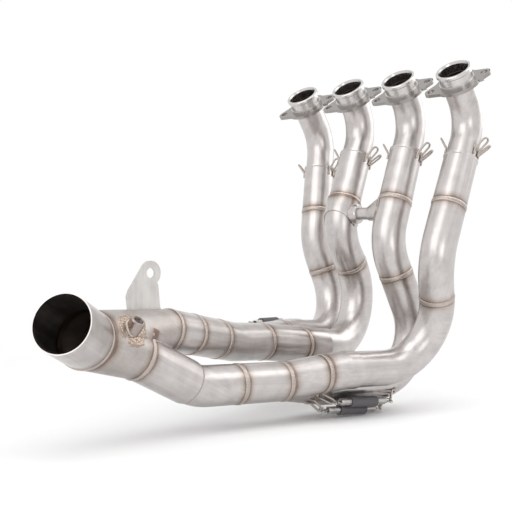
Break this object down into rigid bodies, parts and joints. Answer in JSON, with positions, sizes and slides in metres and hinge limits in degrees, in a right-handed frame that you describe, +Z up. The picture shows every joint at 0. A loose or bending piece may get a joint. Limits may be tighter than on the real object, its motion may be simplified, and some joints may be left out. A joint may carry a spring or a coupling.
{
  "type": "motorcycle exhaust header",
  "caption": "Racing exhaust header of thin satin titanium tube: port rings and flanges, slip joints, twin collectors and a final merge to one outlet.",
  "frame": {"origin": "on the axis of port 2, where the round wall of the ring lip starts, 0.8 mm below the gasket face", "axes": "+X along the row of ports from tube 1 to tube 4, +Y forward, +Z up"},
  "size_m": [0.3268, 0.5886, 0.4294],
  "materials": {
    "titanium_tube": "satin, drawn along the tube, straw tints at the welds",
    "machined_ring": "turned, bright",
    "flange_plate": "plain mid grey, cut edges",
    "hook_wire": "plain wire, a little tinted",
    "spring_steel": "close-wound spring wire",
    "damper_rubber": "matt",
    "boss": "blue and gold heat tint",
    "bracket_plate": "flat sheet, satin"
  },
  "bodies": {
    "root": {"bend_hooks_left": "hook_wire", "bend_hooks_right": "hook_wire", "bracket": "bracket_plate", "branch_sleeve_2": "titanium_tube", "collector_hooks_left": "hook_wire", "collector_hooks_right": "hook_wire", "collector_left": "titanium_tube", "collector_right": "titanium_tube", "collector_sockets_left": "titanium_tube", "collector_sockets_right": "titanium_tube", "cone_tube_1": "titanium_tube", "cone_tube_2": "titanium_tube", "cone_tube_3": "titanium_tube", "cone_tube_4": "titanium_tube", "cross_collar": "titanium_tube", "cross_saddle": "titanium_tube", "cross_tube": "titanium_tube", "damper_sleeves_left": "damper_rubber", "damper_sleeves_right": "damper_rubber", "final_merge": "titanium_tube", "flange_1": "flange_plate", "flange_2": "flange_plate", "flange_3": "flange_plate", "flange_4": "flange_plate", "lambda_boss": "boss", "link_left_1": "titanium_tube", "link_left_2": "titanium_tube", "link_left_3": "titanium_tube", "link_right_1": "titanium_tube", "link_right_2": "titanium_tube", "link_right_3": "titanium_tube", "lower_bend_1": "titanium_tube", "lower_bend_2": "titanium_tube", "lower_bend_3": "titanium_tube", "lower_bend_4": "titanium_tube", "mid_bend_1": "titanium_tube", "mid_bend_2": "titanium_tube", "mid_bend_3": "titanium_tube", "mid_bend_4": "titanium_tube", "outlet_pipe": "titanium_tube", "port_ring_1": "machined_ring", "port_ring_2": "machined_ring", "port_ring_3": "machined_ring", "port_ring_4": "machined_ring", "slip_socket_1": "titanium_tube", "slip_socket_2": "titanium_tube", "slip_socket_3": "titanium_tube", "slip_socket_4": "titanium_tube", "spring_hooks_1": "hook_wire", "spring_hooks_2": "hook_wire", "spring_hooks_3": "hook_wire", "spring_hooks_4": "hook_wire", "stub_bend_1": "titanium_tube", "stub_bend_2": "titanium_tube", "stub_bend_3": "titanium_tube", "stub_bend_4": "titanium_tube", "tension_springs_left": "spring_steel", "tension_springs_right": "spring_steel"}
  },
  "joints": []
}
